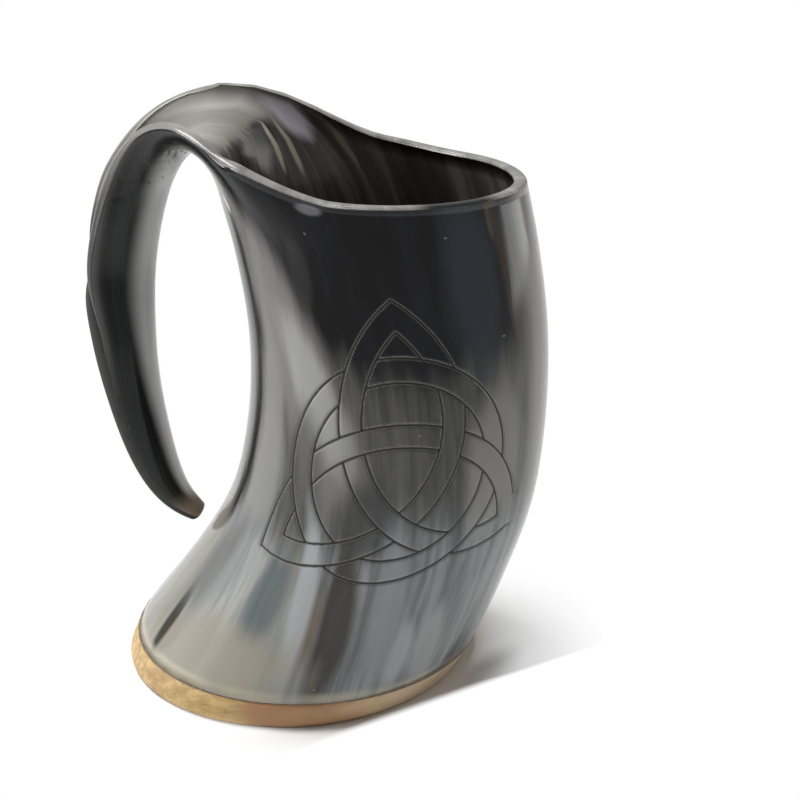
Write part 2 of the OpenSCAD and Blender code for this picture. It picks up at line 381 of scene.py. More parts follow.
# The way round is kept face by face, so that it doesn't jump inside a face at the half turn
corner_points = np.empty(len(horn_mesh.loops), int)
horn_mesh.loops.foreach_get("vertex_index", corner_points)
first_corners = np.empty(len(horn_mesh.polygons), int)
horn_mesh.polygons.foreach_get("loop_start", first_corners)
way_round = facts[corner_points, 0]
spread_in_face = np.maximum.reduceat(way_round, first_corners) - np.minimum.reduceat(way_round, first_corners)
face_sizes = np.diff(np.append(first_corners, len(corner_points)))
across_half_turn = np.repeat(spread_in_face > 180, face_sizes) & (way_round > 0)
note("around", "FLOAT", "CORNER", way_round - 360 * across_half_turn)
# The horn's fibres stand more upright than its outline on both sides of the lower cup
fibre_turn = 8.4
fibre_run = 0.07
turned = np.radians(facts[:, 0])
lean_in = fibre_turn * np.sin(turned) ** 2 * fibre_run * (1 - np.exp(-facts[:, 1] / fibre_run))
turned = turned + np.sign(facts[:, 0]) * lean_in
fibre = np.stack([np.cos(turned) * waist_width / 2, np.sin(turned) * waist_width / 2, facts[:, 1]], -1)
note("fibre", "FLOAT_VECTOR", "POINT", fibre)
horn = placed("polished_horn", horn_mesh)

# The knot: three strands of one band over and under a ring, each strand an arc of its own,
# laid out flat in millimetres to the right of and above the knot's middle
mm = 0.001
band = 6.4
strands = {
    "right": dict(centre=(-24.5, 11.3), radius=38.0, starts="left", ends="level"),
    "left": dict(centre=(22.0, 13.3), radius=36.7, starts="level", ends="right"),
    "level": dict(centre=(1.0, -25.7), radius=35.0, starts="right", ends="left"),
}
ring_centre = (-0.8, -1.3)
ring_radius = 27.7
ring_tall = 0.97


def crossing(a, b, side):
    """Outer meeting point of two strands' circles, for the line on one side of the band."""
    p, q = np.array(strands[a]["centre"]), np.array(strands[b]["centre"])
    r, s = strands[a]["radius"] + side * band / 2, strands[b]["radius"] + side * band / 2
    gap = np.linalg.norm(q - p)
    reach = (gap ** 2 + r ** 2 - s ** 2) / (2 * gap)
    rise = math.sqrt(r ** 2 - reach ** 2)
    along_gap = (q - p) / gap
    options = [p + along_gap * reach + np.array([-along_gap[1], along_gap[0]]) * rise * k for k in (1, -1)]
    return max(options, key=np.linalg.norm)


def strand_arc(name, side):
    """Middle of a strand's circle, the angle at which it starts, and how far it turns."""
    strand = strands[name]
    centre = np.array(strand["centre"])
    first, final = (crossing(name, strand[end], side) - centre for end in ("starts", "ends"))
    begin = math.atan2(first[1], first[0])
    return centre, begin, (begin - math.atan2(final[1], final[0])) % (2 * math.pi)


def strand_share(name, spots):
    """Share of the way along a strand at which flat points lie."""
    centre, begin, sweep = strand_arc(name, 0)
    angle = (begin - np.arctan2(spots[:, 1] - centre[1], spots[:, 0] - centre[0])) % (2 * math.pi)
    return np.where(angle > sweep + (2 * math.pi - sweep) / 2, angle - 2 * math.pi, angle) / sweep


def in_strand(name, spots):
    strand = strands[name]
    return np.abs(np.hypot(*(spots - strand["centre"]).T) - strand["radius"]) < band / 2


def in_ring(spots):
    away = np.hypot(spots[:, 0] - ring_centre[0], (spots[:, 1] - ring_centre[1]) * ring_tall)
    return np.abs(away - ring_radius) < band / 2


# Each strand starts under the ring, goes over one strand and under the other, and ends over it
goes_under = {"right": "left", "left": "level", "level": "right"}
cut_lines = []
for name, strand in strands.items():
    for side in (1, -1):
        centre, begin, sweep = strand_arc(name, side)
        turn = begin - np.linspace(0, 1, 400) * sweep
        spots = centre + (strand["radius"] + side * band / 2) * np.stack([np.cos(turn), np.sin(turn)], -1)
        share = strand_share(name, spots)
        hidden = in_ring(spots) & (share < .5)
        hidden |= in_strand(goes_under[name], spots) & (share > .3) & (share < .76)
        cut_lines.append((spots, ~hidden))
turn = np.linspace(0, 2 * math.pi, 700)
for side in (1, -1):
    radius = ring_radius + side * band / 2
    spots = np.stack([ring_centre[0] + radius * np.cos(turn),
                      ring_centre[1] + radius * np.sin(turn) / ring_tall], -1)
    hidden = np.zeros(len(spots), bool)
    for name in strands:
        share = strand_share(name, spots)
        hidden |= in_strand(name, spots) & (share > .5) & (share < 1.1)
    cut_lines.append((spots, ~hidden))


def line_object(name, lines):
    """Loose edges that the carving follows."""
    line_points, line_edges = [], []
    for spots, seen in lines:
        for i, spot in enumerate(spots):
            line_points.append(spot)
            if i and seen[i] and seen[i - 1]:
                line_edges.append((len(line_points) - 2, len(line_points) - 1))
    used = sorted({i for edge in line_edges for i in edge})
    renumber = {old: new for new, old in enumerate(used)}
    mesh = bpy.data.meshes.new(name)
    mesh.from_pydata([tuple(line_points[i]) for i in used],
                     [(renumber[a], renumber[b]) for a, b in line_edges], [])
    return placed(name, mesh)


# Wrap the flat knot round the horn: right is the way round the wall, up is the height
sweep_angles = np.linspace(-180, -20, 321)
wrapped = []
for spots, seen in cut_lines:
    laid = []
    for right_of, above in spots:
        height = knot_height + above * mm
        section = skin(sweep_angles, height, 0)
        way = np.concatenate([[0], np.cumsum(np.linalg.norm(np.diff(section, axis=0), axis=1))])
        start_way = np.interp(knot_angle, sweep_angles, way)
        laid.append((np.interp(start_way - right_of * mm, way, sweep_angles), height))
    laid = np.array(laid)
    wrapped.append((skin(laid[:, 0], laid[:, 1], 0), seen))
knot_lines = line_object("knot_lines", wrapped)

# Rasp marks across the arch's near flank, left from shaping it
rasp_count = 16
rasp_low = 0.153
rasp_reach = 0.022
rng = np.random.default_rng(11)
run = np.linspace(-1, 1, 14)
marks = []
for k in range(rasp_count):
    angle = rng.uniform(-40, -22)
    place = rasp_low + rasp_reach * (k + rng.uniform(0, 1)) / rasp_count
    span = rng.uniform(3, 8)
    slant = rng.uniform(-.0012, .0012)
    marks.append((skin(angle + run * span, place + run * slant, 0), np.ones(len(run), bool)))
rasp_lines = line_object("rasp_lines", marks)


def new_group(name, kind, inputs, outputs):
    """A node tree with named inputs and outputs. Gives the tree and its two ends."""
    tree = bpy.data.node_groups.new(name, kind)
    if kind == "GeometryNodeTree":
        tree.is_modifier = True
    for way, sockets in (("INPUT", inputs), ("OUTPUT", outputs)):
        for label, carries in sockets.items():
            tree.interface.new_socket(label, in_out=way, socket_type="NodeSocket" + carries)
    return tree, tree.nodes.new("NodeGroupInput").outputs, tree.nodes.new("NodeGroupOutput").inputs


def feed(tree, socket, value):
    """Links a socket to another node's output, or sets it to a number, colour or direction."""
    if isinstance(value, bpy.types.NodeSocket):
        tree.links.new(value, socket)
    elif value is not None:
        socket.default_value = value


def attribute(tree, name, output="Fac"):
    node = tree.nodes.new("ShaderNodeAttribute")
    node.attribute_name = name
    return node.outputs[output]


def math_node(tree, operation, a, b=None):
    """A Math node in a tree: a and b are sockets or numbers. Gives its output."""
    node = tree.nodes.new("ShaderNodeMath")
    node.operation = operation
    feed(tree, node.inputs[0], a)
    feed(tree, node.inputs[1], b)
    return node.outputs[0]


def ranged(tree, value, low, high, to_low=0.0, to_high=1.0):
    """A smooth step from to_low at low to to_high at high."""
    node = tree.nodes.new("ShaderNodeMapRange")
    node.interpolation_type = "SMOOTHSTEP"
    for socket, number in zip(node.inputs, (value, low, high, to_low, to_high)):
        feed(tree, socket, number)
    return node.outputs["Result"]


def stretched_noise(tree, source, stretch, scale, detail=4.0, rough=0.55):
    """Noise drawn out along a vector's directions by the shares in stretch."""
    mapping = tree.nodes.new("ShaderNodeMapping")
    mapping.inputs["Scale"].default_value = stretch
    tree.links.new(source, mapping.inputs["Vector"])
    noise = tree.nodes.new("ShaderNodeTexNoise")
    for label, value in (("Scale", scale), ("Detail", detail), ("Roughness", rough)):
        noise.inputs[label].default_value = value
    tree.links.new(mapping.outputs["Vector"], noise.inputs["Vector"])
    return noise.outputs["Fac"]


def sway(tree, noise, reach):
    """A noise's swing to both sides of its middle, times a reach."""
    return math_node(tree, "MULTIPLY", math_node(tree, "SUBTRACT", noise, .5), reach)


def mixed(tree, mask, a, b):
    """Colour a where the mask is 0 and b where it is 1: sockets, or colours."""
    node = tree.nodes.new("ShaderNodeMix")
    node.data_type = "RGBA"
    feed(tree, node.inputs[0], mask)
    for socket, value in ((node.inputs[6], a), (node.inputs[7], b)):
        feed(tree, socket, (*value, 1) if isinstance(value, tuple) else value)
    return node.outputs[2]


def end_tree(tree, geometry, given, result):
    """Ends a geometry tree: its instances are made real, and its material is set."""
    real = tree.nodes.new("GeometryNodeRealizeInstances")
    tree.links.new(geometry, real.inputs["Geometry"])
    dressed = tree.nodes.new("GeometryNodeSetMaterial")
    tree.links.new(real.outputs["Geometry"], dressed.inputs["Geometry"])
    tree.links.new(given["Material"], dressed.inputs["Material"])
    tree.links.new(dressed.outputs["Geometry"], result["Geometry"])


# Geometry Nodes tree that cuts a groove along lines lying on a surface
carving, given, result = new_group("Cut grooves", "GeometryNodeTree", {
    "Geometry": "Geometry", "Lines": "Object", "Half width": "Float", "Depth": "Float",
    "Mark": "String", "Material": "Material"}, {"Geometry": "Geometry"})
n, link = carving.nodes, carving.links.new
lines_in = n.new("GeometryNodeObjectInfo")
link(given["Lines"], lines_in.inputs["Object"])
near = n.new("GeometryNodeProximity")
near.target_element = "EDGES"
link(lines_in.outputs["Geometry"], near.inputs[0])
bottomed = ranged(carving, near.outputs["Distance"], 0, given["Half width"], 1, 0)
inside_mark = n.new("GeometryNodeInputNamedAttribute")
inside_mark.data_type = "FLOAT"
inside_mark.inputs["Name"].default_value = "inside"
on_outside = math_node(carving, "LESS_THAN", inside_mark.outputs["Attribute"], 0.01)
groove = math_node(carving, "MULTIPLY", bottomed, on_outside)
sink = math_node(carving, "MULTIPLY", groove, given["Depth"])
offset = n.new("ShaderNodeVectorMath")
offset.operation = "SCALE"
link(n.new("GeometryNodeInputNormal").outputs["Normal"], offset.inputs[0])
link(math_node(carving, "MULTIPLY", sink, -1), offset.inputs["Scale"])
marked = n.new("GeometryNodeStoreNamedAttribute")
marked.data_type = "FLOAT"
marked.domain = "POINT"
link(given["Geometry"], marked.inputs["Geometry"])
link(given["Mark"], marked.inputs["Name"])
link(groove, marked.inputs["Value"])
moved = n.new("GeometryNodeSetPosition")
link(marked.outputs["Geometry"], moved.inputs["Geometry"])
link(offset.outputs["Vector"], moved.inputs["Offset"])
end_tree(carving, moved.outputs["Geometry"], given, result)

# Shader group: a patch of the horn, a soft oval in angle and length with a streaky border
patch, given, result = new_group("Horn patch", "ShaderNodeTree", dict.fromkeys(
    ("Around", "Along", "Half around", "Half along", "Tilt", "Ragged"), "Float"), {"Mask": "Float"})
above_middle = math_node(patch, "SUBTRACT", attribute(patch, "along"), given["Along"])
tilted = math_node(patch, "MULTIPLY", above_middle, given["Tilt"])
beside = math_node(patch, "SUBTRACT", attribute(patch, "around"), given["Around"])
beside = math_node(patch, "WRAP", math_node(patch, "SUBTRACT", beside, tilted), 180)
beside.node.inputs[2].default_value = -180
across = math_node(patch, "DIVIDE", beside, given["Half around"])
lengthwise = math_node(patch, "DIVIDE", above_middle, given["Half along"])
away = math_node(patch, "SQRT", math_node(patch, "ADD", math_node(patch, "MULTIPLY", across, across),
                                          math_node(patch, "MULTIPLY", lengthwise, lengthwise)))
ragged = stretched_noise(patch, attribute(patch, "fibre", "Vector"), (1, 1, .1), 260)
away = math_node(patch, "ADD", away, sway(patch, ragged, given["Ragged"]))
patch.links.new(ranged(patch, away, 1.25, .55), result["Mask"])


def patched(tree, base, patches):
    """Lays patches over a colour: each one's angle, place along, half sizes, tilt, raggedness,
    colour and strength."""
    for *sizes, colour, strength in patches:
        node = tree.nodes.new("ShaderNodeGroup")
        node.node_tree = patch
        for socket, value in zip(node.inputs, sizes):
            socket.default_value = value
        base = mixed(tree, math_node(tree, "MULTIPLY", node.outputs["Mask"], strength), base, colour)
    return base


def new_finish(name):
    """A new material, with its node tree and its shader."""
    finish = bpy.data.materials.new(name)
    finish.use_nodes = True
    return finish, finish.node_tree, finish.node_tree.nodes["Principled BSDF"]


# Polished horn: dark above, grey where the knot is, streaked and blue-grey towards the foot
horn_finish, tree, shader = new_finish("Polished horn")
fibre_in = attribute(tree, "fibre", "Vector")
around, along = attribute(tree, "around"), attribute(tree, "along")
broad = stretched_noise(tree, fibre_in, (1, 1, .16), 75, 3)
streak = stretched_noise(tree, fibre_in, (1, 1, .06), 330, 5, .6)
hair = stretched_noise(tree, fibre_in, (1, 1, .025), 1500, 3, .6)
low_horn = mixed(tree, ranged(tree, streak, .32, .68), (.13, .14, .145), (.33, .35, .35))
low_horn = mixed(tree, ranged(tree, broad, .5, .75), low_horn, (.42, .41, .365))
mid_horn = mixed(tree, ranged(tree, streak, .3, .7), (.050, .050, .048), (.13, .128, .122))
top_horn = mixed(tree, ranged(tree, broad, .4, .8), (.006, .006, .007), (.016, .017, .021))
height = math_node(tree, "ADD", along, sway(tree, broad, .05))
horn_colour = mixed(tree, ranged(tree, height, .045, .068), low_horn, mid_horn)
horn_colour = mixed(tree, ranged(tree, height, .094, .110), horn_colour, top_horn)
horn_colour = patched(tree, horn_colour, [
    # Pale band on the body's left: partly the horn's own tone, partly painted light on the lit left side
    (-60, .104, 17, .052, 600, .4, (.24, .235, .22), .95),
    # Painted highlight: the brightest spot on the pale band
    (-70, .094, 10, .022, 600, .6, (.46, .46, .455), .75),
    # Painted highlight: a small bright spot of lamp light below the near rim
    (-82, .1432, 3.5, .0013, 0, .3, (.40, .40, .44), .45),
    (-46, .068, 11, .022, 0, .6, (.29, .29, .285), .9),
    (-46, .088, 8, .022, 0, .3, (.27, .265, .25), .9),
    (-34.5, .108, 4.4, .042, 0, .1, (.004, .004, .004), .95),
    (-30, .064, 3.8, .030, -250, .1, (.004, .004, .004), .95),
    (-36, .1400, 1.4, .0022, 0, .3, (.75, .75, .72), .9),
    (-146, .1385, 1.4, .0045, 0, .4, (.20, .15, .09), .8),
    (-69, .126, 5, .012, 0, .7, (.035, .036, .034), .8),
    (-134, .124, 13, .026, 0, .5, (.046, .053, .068), .85),
    (-153, .120, 5, .034, 200, .7, (.075, .060, .045), .7),
    (-66, .070, 9, .020, 0, .6, (.10, .10, .095), .6),
    # Pale zone over the right limb: partly the horn's own tone, partly painted light
    (-176, .100, 18, .065, 0, .4, (.27, .263, .25), .95),
    (-142, .075, 14, .022, 0, .7, (.30, .295, .28), .8),
    (-94, .060, 13, .013, 0, .8, (.045, .045, .045), .8),
    (-98, .030, 7, .030, 400, .8, (.050, .044, .040), .95),
    (-90, .029, 4, .011, 400, .8, (.20, .165, .13), .9),
    (-137, .020, 6, .014, 300, .8, (.42, .425, .43), .85),
    (-126, .020, 5, .011, 300, .8, (.46, .47, .48), .85),
    (-70, .034, 8, .016, 200, .7, (.12, .145, .155), .8),
    (-83, .036, 4, .026, 400, .6, (.50, .52, .53), .85),
    (-114, .034, 7, .026, 400, .7, (.30, .33, .34), .85),
    (-62, .014, 36, .012, 0, .6, (.36, .335, .27), .95),
    (-52, .016, 12, .012, 0, .6, (.27, .25, .20), .8),
    (-36.5, .0185, 3.2, .0110, 200, 1.0, (.030, .024, .018), .95),
    (-41, .038, 12, .016, 0, .6, (.19, .195, .19), .85),
    (-20, .030, 12, .030, 0, .6, (.30, .285, .24), .8),
])
# The handle is black on both sides and brown at the tip. Along its middle it is pale, and at its near edge
# grey: partly the horn's own tone, partly painted light on its lit side and a painted highlight along the
# near edge
shifted = math_node(tree, "SUBTRACT", around, ranged(tree, along, .20, .25, 0, 12))
handle_colour = mixed(tree, ranged(tree, streak, .3, .7), (.004, .0045, .0045), (.013, .015, .015))
# Pale middle: partly the horn's tone, partly painted light on the side that faces the lamps
handle_colour = mixed(tree, ranged(tree, shifted, -34, -18), handle_colour, (.80, .80, .77))
# Grey near side: partly the horn's tone, partly a painted highlight along the near edge
near_side = mixed(tree, ranged(tree, along, .200, .235), (.17, .17, .155), (.022, .023, .022))
handle_colour = mixed(tree, ranged(tree, around, -44, -52), handle_colour, near_side)
handle_colour = mixed(tree, ranged(tree, around, 16, 34), handle_colour, (.03, .03, .03))
handle_colour = mixed(tree, ranged(tree, along, .262, .269), handle_colour, (.24, .18, .125))
horn_colour = mixed(tree, ranged(tree, along, .156, .172), horn_colour, handle_colour)
# Inside, the horn is darker, but pale on the saddle where the strip leaves the cup
inside = attribute(tree, "inside")
inside_colour = mixed(tree, ranged(tree, streak, .35, .7), (.07, .065, .062), (.18, .165, .145))
wavy = math_node(tree, "ADD", along, sway(tree, streak, .006))
saddle = mixed(tree, ranged(tree, broad, .3, .7), (.24, .23, .21), (.32, .305, .278))
inside_colour = mixed(tree, ranged(tree, wavy, .1474, .1502), inside_colour, saddle)
inside_colour = mixed(tree, ranged(tree, along, .174, .194), inside_colour, (.05, .05, .047))
inside_colour = patched(tree, inside_colour, [
    # Pale patch on the saddle's far part: partly the saddle's pale tone, partly painted light where the lamp
    # reaches it less
    (50, .1565, 13, .0085, 0, .4, (.62, .60, .555), .8),
    (34, .1470, 9, .0030, 0, .4, (.02, .018, .016), .9),
    # Painted reflection: a pale lilac sheen on the inner wall near the far rim
    (59, .1477, 9, .0042, 0, .5, (.92, .90, .98), .95),
    (38, .1438, 1.7, .0055, 0, .3, (.80, .72, .58), .9),
    (47, .1430, 1.6, .006, 0, .3, (.66, .58, .45), .9),
    (74, .143, 1.4, .005, 0, .3, (.34, .29, .22), .7),
    (-40, .143, 9, .010, 0, .8, (.07, .055, .035), .7),
    (100, .128, 14, .018, 0, .9, (.045, .04, .028), .7),
])
horn_colour = mixed(tree, ranged(tree, inside, .55, .95), horn_colour, inside_colour)
# The lower margin was sanded with the wood and stayed pale
margin = math_node(tree, "MULTIPLY", ranged(tree, along, .0116, .0096, 0, .8),
                   ranged(tree, broad, .35, .6, .35, 1))
horn_colour = mixed(tree, margin, horn_colour, (.50, .455, .35))
# Cut edges are paler than the polished skin, but for a dark stretch of the near rim
edge = attribute(tree, "edge")
edge_colour = mixed(tree, ranged(tree, streak, .3, .7), (.20, .195, .18), (.36, .35, .325))
edge_colour = patched(tree, edge_colour, [(-136, .144, 18, .02, 0, .5, (.016, .016, .016), 1)])
horn_colour = mixed(tree, ranged(tree, edge, .3, .8, 0, .9), horn_colour, edge_colour)
# Cut grooves: scraped horn is pale and dull, with painted shade at the bottom
knot_groove, rasp_groove = attribute(tree, "knot_cut"), attribute(tree, "rasp_cut")
for cut, shallow, deeper, strength, colour in (
        (knot_groove, .08, .3, .6, (.24, .235, .225)), (knot_groove, .3, .75, .9, (.014, .013, .012)),
        (rasp_groove, .2, .8, .7, (.03, .028, .026))):
    horn_colour = mixed(tree, ranged(tree, cut, shallow, deeper, 0, strength), horn_colour, colour)
# Single fibres catch the light
horn_colour = mixed(tree, ranged(tree, hair, .6, .85, 0, .10), horn_colour, (.30, .30, .29))
# Sparse pale specks of dust and tiny nicks
cells = tree.nodes.new("ShaderNodeTexVoronoi")
cells.inputs["Scale"].default_value = 300
tree.links.new(fibre_in, cells.inputs["Vector"])
drawn = tree.nodes.new("ShaderNodeSeparateColor")
tree.links.new(cells.outputs["Color"], drawn.inputs[0])
specks = math_node(tree, "MULTIPLY", ranged(tree, cells.outputs["Distance"], .11, .06),
                   ranged(tree, drawn.outputs[0], .955, .965, 0, .7))
horn_colour = mixed(tree, specks, horn_colour, (.33, .31, .28))
feed(tree, shader.inputs["Base Color"], horn_colour)
# The polish is dull in the grooves and on the saddle, which is worn
dull = math_node(tree, "MULTIPLY", math_node(tree, "MAXIMUM", knot_groove, rasp_groove), .35)
polished = stretched_noise(tree, fibre_in, (1, 1, .3), 160)
rough = math_node(tree, "ADD", ranged(tree, polished, .3, .7, .12, .2), dull)
worn = math_node(tree, "MULTIPLY", ranged(tree, inside, .6, .9), ranged(tree, wavy, .1475, .1520, 0, .5))
feed(tree, shader.inputs["Roughness"], math_node(tree, "ADD", rough, worn))
shader.inputs["IOR"].default_value = 1.54
rubbed = math_node(tree, "MULTIPLY", ranged(tree, inside, .6, .9), ranged(tree, along, .141, .148, 0, .22))
shine = .35
shader.inputs["Specular IOR Level"].default_value = shine
feed(tree, shader.inputs["Specular IOR Level"], math_node(tree, "SUBTRACT", shine, rubbed))
strength = math_node(tree, "SUBTRACT", .08, math_node(tree, "MULTIPLY", worn, .16))
relief = math_node(tree, "ADD", sway(tree, hair, .5), math_node(tree, "MULTIPLY", streak, 1.5))


def ripple(tree, shader, strength, distance, relief):
    """Gives a shader a fine relief, its distance in metres."""
    bump = tree.nodes.new("ShaderNodeBump")
    for label, value in (("Strength", strength), ("Distance", distance), ("Height", relief)):
        feed(tree, bump.inputs[label], value)
    tree.links.new(bump.outputs["Normal"], shader.inputs["Normal"])


ripple(tree, shader, strength, 0.0004, relief)


def formed(ob, tree, values):
    """Runs a Geometry Nodes tree on an object, and turns the result into a plain mesh."""
    modifier = ob.modifiers.new(tree.name, "NODES")
    modifier.node_group = tree
    for item in tree.interface.items_tree:
        if item.in_out == "INPUT" and item.name in values:
            modifier[item.identifier] = values[item.name]
    bpy.context.view_layer.update()
    mesh = bpy.data.meshes.new_from_object(ob.evaluated_get(bpy.context.evaluated_depsgraph_get()))
    ob.modifiers.remove(modifier)
    ob.data = mesh


for lines, half_width, depth, mark in ((knot_lines, 0.00062, 0.00055, "knot_cut"),
                                       (rasp_lines, 0.0005, 0.00025, "rasp_cut")):
    formed(horn, carving, {"Lines": lines, "Half width": half_width, "Depth": depth, "Mark": mark,
                           "Material": horn_finish})
    bpy.data.objects.remove(lines)
horn.data.name = "polished_horn"
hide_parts("horn_shell")
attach(horn, "root")


# Wooden foot: a disc of light wood, sanded flush with the horn's wide end, its lower edge rounded
# over. A plug on top of it enters the horn, below the seal, and the glue holds it.
foot_round = 0.002
shoulder_break = 0.0003
plug_height = 0.008
plug_fit = 0.0003
glue_thick = 0.0004
shoulder = foot_height - glue_thick
round_columns = np.linspace(-180, 180, 181)[:-1]


def level_ring(place, deep, inset, height):
    """A ring of the wall at a height of its own, drawn in by a distance."""
    ring_points = skin(round_columns, place, deep)
    ring_points[:, 2] = height
    _, left, _, length = ease(body, place)[0]
    outwards = ring_points - np.array([left + length, 0, height])
    return ring_points - outwards / np.linalg.norm(outwards, axis=1)[:, None] * inset


def stacked(name, rings):
    """A closed solid through rings, from the lowest to the highest."""
    size = len(round_columns)
    shape = [tuple(p) for r in rings for p in r]
    shape += [tuple(rings[0].mean(axis=0)), tuple(rings[-1].mean(axis=0))]
    sides = []
    for r in range(len(rings) - 1):
        for i in range(size):
            j = (i + 1) % size
            sides.append((r * size + i, (r + 1) * size + i, (r + 1) * size + j, r * size + j))
    final = (len(rings) - 1) * size
    for i in range(size):
        j = (i + 1) % size
        sides.append((len(shape) - 2, i, j))
        sides.append((len(shape) - 1, final + j, final + i))
    mesh = bpy.data.meshes.new(name)
    mesh.from_pydata(shape, [], sides)
    mesh.update()
    mesh.shade_smooth()
    mesh.set_sharp_from_angle(angle=math.radians(40))
    return placed(name, mesh)


foot_rings = []
for turn in np.radians(np.linspace(0, 90, 9)):
    rise = foot_round * (1 - math.cos(turn))
    foot_rings.append(level_ring(rise, 0, foot_round * (1 - math.sin(turn)), rise))
for rise in np.linspace(foot_round, shoulder - shoulder_break, 5)[1:]:
    foot_rings.append(level_ring(rise, 0, 0, rise))
foot_rings.append(level_ring(shoulder, 0, .00022, shoulder))
for height in (shoulder, foot_height, foot_height + plug_height):
    foot_rings.append(level_ring(height, 1, plug_fit, height))
foot = stacked("wood_foot", foot_rings)

foot_finish, tree, shader = new_finish("Light wood")
place_in = tree.nodes.new("ShaderNodeTexCoord").outputs["Object"]
growth = stretched_noise(tree, place_in, (.07, 1, 1), 380, 5, .6)
flecks = stretched_noise(tree, place_in, (.25, 1, 1), 1100, 3, .7)
pores = stretched_noise(tree, place_in, (.5, 1, 1), 2600, 2, .6)
blotch = stretched_noise(tree, place_in, (1, 1, 1), 38, 2)
wood_colour = mixed(tree, ranged(tree, growth, .34, .66), (.48, .315, .120), (.69, .475, .205))
wood_colour = mixed(tree, ranged(tree, blotch, .45, .68, 0, .75), wood_colour, (.36, .20, .095))
wood_colour = mixed(tree, ranged(tree, flecks, .54, .66, 0, .5), wood_colour, (.30, .17, .08))
wood_colour = mixed(tree, ranged(tree, pores, .60, .70, 0, .45), wood_colour, (.20, .115, .05))
# The wood is reddish in the middle. Towards the bowed side it is paler: painted light, as the lamps reach
# that side too little
across_foot = tree.nodes.new("ShaderNodeSeparateXYZ")
tree.links.new(place_in, across_foot.inputs[0])
across_foot = across_foot.outputs["X"]
uneven = math_node(tree, "ADD", across_foot, sway(tree, blotch, .05))
reddish = math_node(tree, "MULTIPLY", ranged(tree, uneven, -.006, .010, 0, .9),
                    ranged(tree, uneven, .036, .020))
wood_colour = mixed(tree, reddish, wood_colour, (.44, .235, .11))
# Painted light: paler wood towards the bowed side
wood_colour = mixed(tree, ranged(tree, across_foot, .018, .045, 0, .75), wood_colour, (.98, .74, .49))
feed(tree, shader.inputs["Base Color"], wood_colour)
feed(tree, shader.inputs["Roughness"], ranged(tree, growth, .3, .7, .48, .36))
relief = math_node(tree, "SUBTRACT", growth, math_node(tree, "MULTIPLY", flecks, .8))
ripple(tree, shader, 0.3, 0.0003, relief)
foot.data.materials.append(foot_finish)
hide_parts("wooden_foot")
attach(foot, "root")


# Glue line: dark glue between the foot's shoulder and the horn's cut edge. What was squeezed out has
# set as a thin uneven bead all the way round the joint.
glue_finish, tree, shader = new_finish("Dark glue")
place_in = tree.nodes.new("ShaderNodeTexCoord").outputs["Object"]
lumps = stretched_noise(tree, place_in, (1, 1, 1), 700, 3)
glue_colour = mixed(tree, ranged(tree, lumps, .35, .7), (.13, .092, .058), (.26, .185, .11))
feed(tree, shader.inputs["Base Color"], glue_colour)
feed(tree, shader.inputs["Roughness"], ranged(tree, lumps, .3, .7, .35, .6))
glue_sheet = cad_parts["glue_line"]
for i in range(max(len(glue_sheet.material_slots), 1)):
    if glue_sheet.material_slots:
        glue_sheet.material_slots[i].material = glue_finish
    else:
        glue_sheet.data.materials.append(glue_finish)

# Geometry Nodes tree that sweeps an uneven round bead along edges
bead_tree, given, result = new_group("Bead along an edge", "GeometryNodeTree", {
    "Geometry": "Geometry", "Radius": "Float", "Unevenness": "Float", "Seed": "Float",
    "Material": "Material"}, {"Geometry": "Geometry"})
n, link = bead_tree.nodes, bead_tree.links.new
as_curve = n.new("GeometryNodeMeshToCurve")
link(given["Geometry"], as_curve.inputs["Mesh"])
bumpy = n.new("ShaderNodeTexNoise")
bumpy.noise_dimensions = "4D"
bumpy.inputs["Scale"].default_value = 260
link(n.new("GeometryNodeInputPosition").outputs["Position"], bumpy.inputs["Vector"])
link(given["Seed"], bumpy.inputs["W"])
thickness_share = math_node(bead_tree, "ADD", sway(bead_tree, bumpy.outputs["Fac"], given["Unevenness"]), 1.0)
sized = n.new("GeometryNodeSetCurveRadius")
link(as_curve.outputs["Curve"], sized.inputs["Curve"])
link(thickness_share, sized.inputs["Radius"])
profile = n.new("GeometryNodeCurvePrimitiveCircle")
profile.inputs["Resolution"].default_value = 8
link(given["Radius"], profile.inputs["Radius"])
swept = n.new("GeometryNodeCurveToMesh")
link(sized.outputs["Curve"], swept.inputs["Curve"])
link(profile.outputs["Curve"], swept.inputs["Profile Curve"])
link(thickness_share, swept.inputs["Scale"])
end_tree(bead_tree, swept.outputs["Mesh"], given, result)

bead_inset = 0.00012
joint_ring = level_ring(foot_height, 0, bead_inset, foot_height - glue_thick / 2)
joint_mesh = bpy.data.meshes.new("joint_ring")
size = len(joint_ring)
joint_mesh.from_pydata(joint_ring.tolist(), [(i, (i + 1) % size) for i in range(size)], [])
bead = placed("glue_bead", joint_mesh)
formed(bead, bead_tree, {"Radius": 0.0002, "Unevenness": 1.1, "Seed": 3.0, "Material": glue_finish})
bead.data.shade_smooth()
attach(bead, "root")


# Floor seal: a dark food-safe layer poured over the plug inside the cup. It set with its edge drawn
# a little way up the horn.
seal_thick = 0.0025
seal_fit = 0.0001
seal_low = foot_height + plug_height
seal_high = seal_low + seal_thick
# Rings of its top from the wall inwards: inset from the wall, and drop below the edge
seal_top = [(seal_fit, 0), (.0004, .0003), (.0009, .0006), (.0018, .0009), (.0035, .0011), (.008, .0012),
            (.02, .0012)]
seal_rings = [level_ring(seal_low, 1, seal_fit, seal_low)]
for inset, drop in seal_top:
    seal_rings.append(level_ring(seal_high, 1, inset, seal_high - drop))
seal = stacked("poured_seal", seal_rings)
seal_finish, tree, shader = new_finish("Poured seal")
place_in = tree.nodes.new("ShaderNodeTexCoord").outputs["Object"]
cloud = stretched_noise(tree, place_in, (1, 1, 1), 90, 4)
seal_colour = mixed(tree, ranged(tree, cloud, .35, .7), (.035, .024, .015), (.10, .066, .036))
feed(tree, shader.inputs["Base Color"], seal_colour)
feed(tree, shader.inputs["Roughness"], ranged(tree, cloud, .3, .7, .16, .3))
seal.data.materials.append(seal_finish)
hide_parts("floor_seal")
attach(seal, "root")


